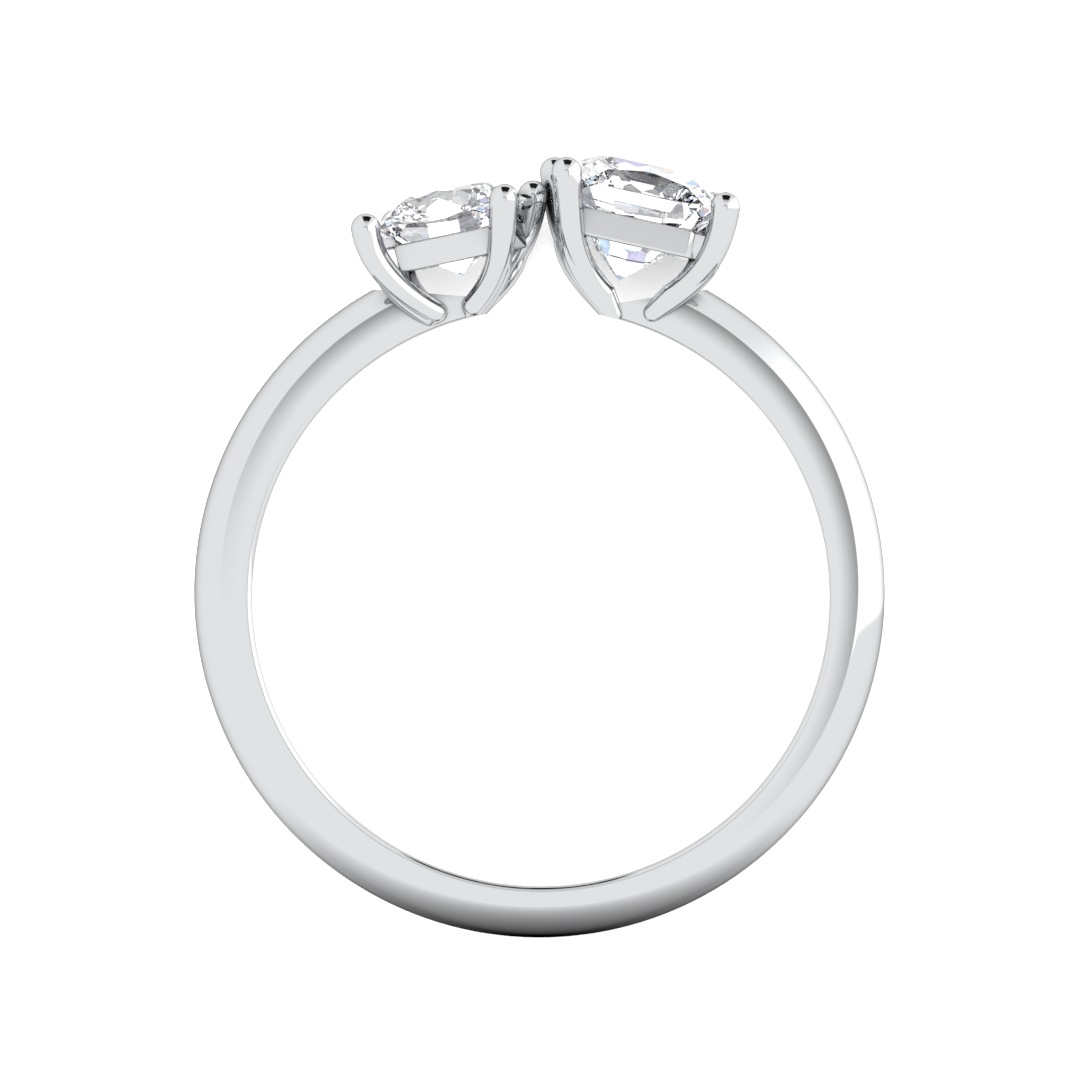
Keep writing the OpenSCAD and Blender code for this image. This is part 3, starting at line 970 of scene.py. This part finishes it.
def low_card():
    """Card under the ring's back that only metal shows."""
    # Painted shade: the metal's underside shows this card's dark middle as the shadow
    # under the ring
    y, x, near, far = -CARD_DEPTH, CARD_ASIDE[1], CARD_AHEAD[1], CARD_BEHIND[1]
    corners = (-x, y, near), (x, y, near), (x, y, far), (-x, y, far)
    obj = new_object("low_card", map(in_metres, corners), [(0, 1, 2, 3)])
    obj.matrix_world = REST
    obj.data.materials.append(graduated_card())
    obj.visible_camera = obj.visible_diffuse = False
    obj.visible_shadow = obj.visible_transmission = False


def studio():
    """World round the ring, by direction in its own frame. Metal shows a white tent with
    a bright panel to the upper right, a soft shade about the lens, and a dark flag past
    the heads that fades out towards the lens. The inside of a stone shows small cards.
    The floor gets an even light, and the camera sees the plain tent."""
    world = bpy.data.worlds.new("studio")
    bpy.context.scene.world = world
    world.use_nodes = True
    world.cycles.sampling_method = "NONE"
    graph = Graph(world.node_tree)
    way = graph.add("VectorRotate", {
        "Vector": graph.add("TexCoord").outputs["Generated"],
        "Rotation": REST.to_3x3().inverted().to_euler("XYZ"),
    }, rotation_type="EULER_XYZ").outputs["Vector"]
    z = graph.add("SeparateXYZ", {0: way}).outputs["Z"]

    def faces(azimuth, span, tilt=0.0):
        """From 0 behind to 1 before the plane that faces an azimuth."""
        return graph.ramp(graph.along(way, (sin(azimuth), cos(azimuth), tilt)), span)

    def switch(amount, off, on):
        return graph.ramp(amount, (0, 1), (off, on), "LINEAR")

    panel = graph.product(
        faces(PANEL_FACES[0], PANEL_SPANS[0], PANEL_TILT),
        faces(PANEL_FACES[1], PANEL_SPANS[1]),
        graph.ramp(z, PANEL_LENS_SPAN),
    )
    off_lens = graph.calc("SQRT", graph.calc("SUBTRACT", 1, graph.product(z, z)))
    to_side = graph.along(way, (sin(LENS_AT), cos(LENS_AT), 0))
    lens = graph.product(
        graph.calc("POWER", graph.ramp(off_lens, LENS_SPAN, kind="LINEAR"), LENS_CURVE),
        graph.ramp(off_lens, LENS_END),
        graph.ramp(z, LENS_FRONT_SPAN),
        graph.ramp(graph.calc("DIVIDE", to_side, off_lens), LENS_SIDE_SPAN),
    )
    past_heads = graph.product(
        faces(FLAG_AT + FLAG_HALF - 90, FLAG_SIDE_SPAN),
        faces(FLAG_AT - FLAG_HALF + 90, FLAG_SIDE_SPAN),
        graph.ramp(z, FLAG_REAR_SPAN),
    )
    flag = graph.product(past_heads, graph.ramp(z, FLAG_FRONT_SPAN))
    faded = graph.product(past_heads, graph.ramp(z, FLAG_SHADE_SPAN, kind="LINEAR"))
    reflected = graph.product(
        switch(panel, TENT_LIGHT, PANEL_LIGHT),
        switch(lens, 1, 1 - LENS_SHADE),
        switch(flag, 1, FLAG_LIGHT),
        switch(faded, 1, 1 - FLAG_SHADE),
    )
    shifted = graph.add("VectorMath", {0: way, 1: FIELD_SHIFT}).outputs["Vector"]
    cells = graph.add("TexVoronoi", {"Vector": shifted, "Scale": FIELD_SCALE})
    inside = graph.colours(cells.outputs["Color"], STONE_FIELD, "CONSTANT")
    path = graph.add("LightPath").outputs
    seen = graph.choose(path["Is Transmission Ray"], reflected, inside)
    seen = graph.choose(path["Is Diffuse Ray"], seen, (FLOOR_LIGHT,) * 3)
    seen = graph.choose(path["Is Camera Ray"], seen, (TENT_LIGHT,) * 3)
    graph.put(graph.nodes["Background"].inputs["Color"], seen)


def overhead():
    """Lamp that lights the floor and that nothing reflects."""
    lamp = bpy.data.lights.new("overhead", "AREA")
    lamp.shape, lamp.size = "DISK", LAMP_SIZE
    lamp.energy = LAMP_POWER
    obj = add_object("overhead", lamp)
    way = Vector(LAMP_FROM).normalized()
    obj.location = way * LAMP_DISTANCE
    obj.rotation_euler = way.to_track_quat("Z", "Y").to_euler()
    obj.visible_glossy = obj.visible_transmission = obj.visible_camera = False


def render_settings():
    """Enough bounces for the light's way through a stone, and plain display colours."""
    scene = bpy.context.scene
    scene.cycles.max_bounces = STONE_BOUNCES
    scene.cycles.transmission_bounces = STONE_BOUNCES
    scene.cycles.glossy_bounces = MIRROR_BOUNCES
    scene.view_settings.view_transform = "Standard"
    scene.view_settings.look = "None"


def main():
    metal = ring_metal()
    finish_metal(metal)
    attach(metal, "root")
    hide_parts("ring_mount")
    clear = diamond()
    for name, head, made in (
        ("cushion_stone", CUSHION, cut_cushion()),
        ("radiant_stone", RADIANT, cut_radiant()),
    ):
        finish_stone(head, made, clear)
        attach(made, "root")
        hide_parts(name)
    camera()
    floor()
    low_card()
    studio()
    overhead()
    render_settings()


main()
